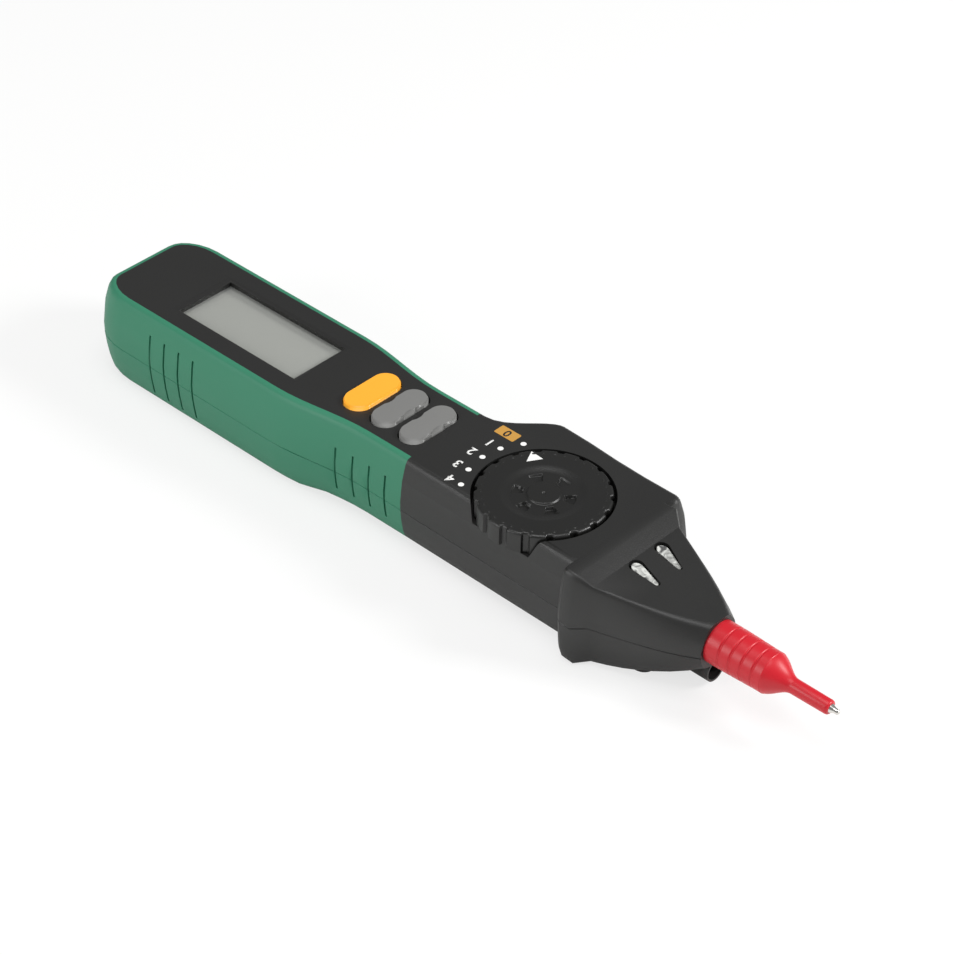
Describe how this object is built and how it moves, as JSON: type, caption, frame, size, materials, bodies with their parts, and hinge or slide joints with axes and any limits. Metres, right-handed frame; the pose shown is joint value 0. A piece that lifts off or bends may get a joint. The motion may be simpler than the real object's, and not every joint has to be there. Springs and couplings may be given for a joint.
{
  "type": "pen multimeter",
  "caption": "Pen-shaped digital multimeter with a green grip, black head, display, range dial, three keys, indicator windows and a fixed red probe.",
  "frame": {"origin": "on the flat back, on the grip's centreline, 38 mm from the rear end", "axes": "+X along the meter to the probe tip, +Z out of the face, +Y to the side where the head bulges"},
  "size_m": [0.208, 0.0402, 0.0242],
  "materials": {
    "black_plastic": "fine matt texture",
    "green_rubber": "satin",
    "green_plastic": "satin",
    "screw_steel": "plated",
    "clear_window": "clear",
    "display_glass": "satin",
    "ivory_plastic": "satin",
    "contact_rubber": "matt",
    "orange_plastic": "satin",
    "grey_plastic": "satin",
    "dark_rubber": "matt",
    "gold_contact": "plated",
    "board_green": "solder mask",
    "black_parts": "moulded",
    "fuse_ceramic": "glazed",
    "frosted_lens": "frosted",
    "red_plastic": "satin",
    "needle_steel": "polished",
    "cell_jacket": "printed sleeve, plain"
  },
  "bodies": {
    "case": {"upper_case": "black_plastic", "lower_case": "black_plastic", "upper_grip_skin": "green_rubber", "lower_grip_skin": "green_rubber", "battery_door": "green_plastic", "battery_door_screw": "screw_steel", "case_screws": "screw_steel", "display_window": "clear_window", "display_panel": "display_glass", "display_frame": "ivory_plastic", "display_connector": "contact_rubber", "keypad_sheet": "dark_rubber", "function_key_dome": "dark_rubber", "rear_rocker_domes": "dark_rubber", "front_rocker_domes": "dark_rubber", "circuit_board": "board_green", "measuring_chip": "black_parts", "buzzer": "black_parts", "input_fuse": "fuse_ceramic", "logic_light_window": "frosted_lens", "voltage_light_window": "frosted_lens", "indicator_lamps": "frosted_lens", "sensing_plate": "gold_contact", "probe_sleeve": "red_plastic", "probe_needle": "needle_steel", "probe_contact": "gold_contact", "torch_lamp": "frosted_lens", "com_socket": "gold_contact", "socket_insulator": "black_parts", "battery_cells": "cell_jacket", "battery_springs": "screw_steel", "battery_end_plates": "screw_steel"},
    "dial": {"range_dial": "black_plastic", "dial_carrier": "ivory_plastic", "dial_wipers": "gold_contact", "dial_screw": "screw_steel", "detent_balls": "screw_steel", "detent_springs": "screw_steel"},
    "function_button": {"function_key": "orange_plastic"},
    "rear_rocker": {"rear_rocker_key": "grey_plastic"},
    "front_rocker": {"front_rocker_key": "grey_plastic"}
  },
  "joints": [
    {"name": "dial_turn", "type": "hinge", "parent": "case", "child": "dial", "pos_m": [0.0904, 0, 0.0175], "axis": [0, 0, 1], "range_deg": [0, 65.6]},
    {"name": "function_key_press", "type": "slide", "parent": "case", "child": "function_button", "axis": [0, 0, -1], "range_m": [0, 0.0008], "stiffness_N_per_m": 1500, "deforming": ["function_key_dome"]},
    {"name": "rear_rocker_tilt", "type": "hinge", "parent": "case", "child": "rear_rocker", "pos_m": [0.048, 0, 0.0175], "axis": [1, 0, 0], "range_deg": [-4, 4], "stiffness_Nm_per_rad": 0.05, "deforming": ["rear_rocker_domes"]},
    {"name": "front_rocker_tilt", "type": "hinge", "parent": "case", "child": "front_rocker", "pos_m": [0.0565, 0, 0.0175], "axis": [1, 0, 0], "range_deg": [-4, 4], "stiffness_Nm_per_rad": 0.05, "deforming": ["front_rocker_domes"]}
  ]
}
